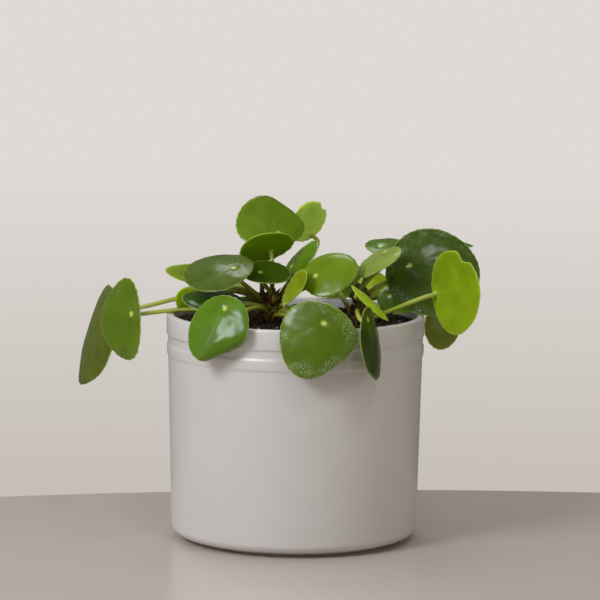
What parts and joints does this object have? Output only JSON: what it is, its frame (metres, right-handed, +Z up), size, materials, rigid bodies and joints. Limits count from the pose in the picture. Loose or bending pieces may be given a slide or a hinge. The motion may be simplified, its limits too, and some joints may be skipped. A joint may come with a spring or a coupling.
{
  "type": "potted pilea plant",
  "caption": "Round-leaved pilea house plant growing in a pale glazed ceramic pot with a banded rim and a recessed foot.",
  "frame": {"origin": "middle of the pot's flat foot, on the surface it stands on", "axes": "+Z up along the pot's axis, -Y the front, +X to the right seen from the front"},
  "size_m": [0.2379, 0.1723, 0.1971],
  "materials": {
    "white_glaze": "satin pale grey-white glaze on ceramic",
    "potting_soil": "matte moist potting soil",
    "woody_stem": "matte brown bark with old leaf scars",
    "leaf_green": "waxy leaf, glossy above and satin below",
    "stalk_green": "smooth satin leaf stalk"
  },
  "bodies": {
    "root": {"pot": "white_glaze", "soil": "potting_soil", "stem_main": "woody_stem", "stem_side": "woody_stem", "leaf_left_outer": "leaf_green", "stalk_left_outer": "stalk_green", "leaf_left_inner": "leaf_green", "stalk_left_inner": "stalk_green", "leaf_left_back": "leaf_green", "stalk_left_back": "stalk_green", "leaf_left_top": "leaf_green", "stalk_left_top": "stalk_green", "leaf_left_young": "leaf_green", "stalk_left_young": "stalk_green", "leaf_left_under": "leaf_green", "stalk_left_under": "stalk_green", "leaf_front_left": "leaf_green", "stalk_front_left": "stalk_green", "leaf_crown_back": "leaf_green", "stalk_crown_back": "stalk_green", "leaf_crown_front": "leaf_green", "stalk_crown_front": "stalk_green", "leaf_crown_right": "leaf_green", "stalk_crown_right": "stalk_green", "leaf_crown_upright": "leaf_green", "stalk_crown_upright": "stalk_green", "leaf_crown_cupped": "leaf_green", "stalk_crown_cupped": "stalk_green", "leaf_half_open": "leaf_green", "stalk_half_open": "stalk_green", "leaf_middle_right": "leaf_green", "stalk_middle_right": "stalk_green", "leaf_front_centre": "leaf_green", "stalk_front_centre": "stalk_green", "leaf_front_under": "leaf_green", "stalk_front_under": "stalk_green", "leaf_back_left": "leaf_green", "stalk_back_left": "stalk_green", "leaf_front_right": "leaf_green", "stalk_front_right": "stalk_green", "leaf_slender": "leaf_green", "stalk_slender": "stalk_green", "leaf_right_pale": "leaf_green", "stalk_right_pale": "stalk_green", "leaf_right_back": "leaf_green", "stalk_right_back": "stalk_green", "leaf_right_large": "leaf_green", "stalk_right_large": "stalk_green", "leaf_right_outer": "leaf_green", "stalk_right_outer": "stalk_green", "leaf_right_low": "leaf_green", "stalk_right_low": "stalk_green", "leaf_right_under": "leaf_green", "stalk_right_under": "stalk_green", "leaf_right_behind": "leaf_green", "stalk_right_behind": "stalk_green", "leaf_right_tip": "leaf_green", "stalk_right_tip": "stalk_green", "leaf_back_centre": "leaf_green", "stalk_back_centre": "stalk_green"}
  },
  "joints": []
}
